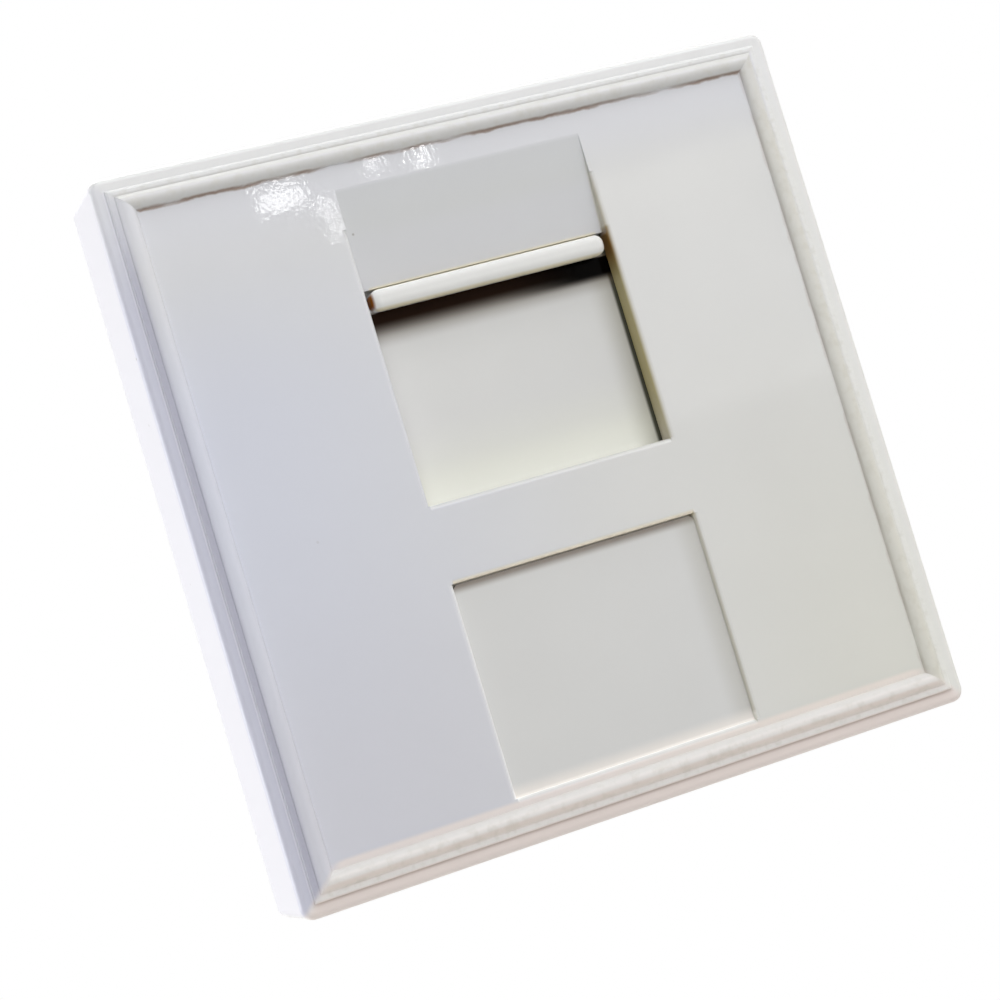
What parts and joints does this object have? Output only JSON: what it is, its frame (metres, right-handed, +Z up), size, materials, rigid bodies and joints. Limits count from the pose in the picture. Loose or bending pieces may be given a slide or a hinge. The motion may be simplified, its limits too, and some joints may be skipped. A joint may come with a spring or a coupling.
{
  "type": "data wall socket",
  "caption": "Square wall plate with a stepped frame edge, a finger ramp, a sprung sliding dust shutter over a network jack, and a plain label insert below.",
  "frame": {"origin": "middle of the wall plane, on the rear face of the mounting frame", "axes": "+Y out of the rear face into the wall, +Z up, +X to the right as seen from the front"},
  "size_m": [0.086, 0.0318, 0.086],
  "materials": {
    "cover_plastic": "gloss moulded",
    "shutter_plastic": "gloss moulded",
    "insert_plastic": "satin moulded",
    "frame_plastic": "matte moulded",
    "spring_steel": "drawn wire",
    "jack_plastic": "matte moulded",
    "carrier_plastic": "matte moulded",
    "gold_plate": "gold plated",
    "board_laminate": "solder mask",
    "terminal_plastic": "matte moulded",
    "cap_plastic": "gloss moulded",
    "blade_metal": "tin plated"
  },
  "bodies": {
    "socket_body": {"front_cover": "cover_plastic", "base_frame": "frame_plastic", "label_insert": "insert_plastic", "shutter_spring_left": "spring_steel", "shutter_spring_right": "spring_steel", "jack_housing": "jack_plastic", "contact_carrier": "carrier_plastic", "circuit_board": "board_laminate", "terminal_block_left": "terminal_plastic", "terminal_block_right": "terminal_plastic", "wire_cap_left": "cap_plastic", "wire_cap_right": "cap_plastic", "plug_contact_1": "gold_plate", "plug_contact_2": "gold_plate", "plug_contact_3": "gold_plate", "plug_contact_4": "gold_plate", "plug_contact_5": "gold_plate", "plug_contact_6": "gold_plate", "plug_contact_7": "gold_plate", "plug_contact_8": "gold_plate", "terminal_blade_left_1": "blade_metal", "terminal_blade_left_2": "blade_metal", "terminal_blade_left_3": "blade_metal", "terminal_blade_left_4": "blade_metal", "terminal_blade_right_1": "blade_metal", "terminal_blade_right_2": "blade_metal", "terminal_blade_right_3": "blade_metal", "terminal_blade_right_4": "blade_metal"},
    "shutter": {"shutter": "shutter_plastic"}
  },
  "joints": [
    {"name": "shutter_slide", "type": "slide", "parent": "socket_body", "child": "shutter", "axis": [0, 0, -1], "range_m": [0, 0.022], "stiffness_N_per_m": 40, "springref_m": -0.01, "deforming": ["shutter_spring_left", "shutter_spring_right"]}
  ]
}
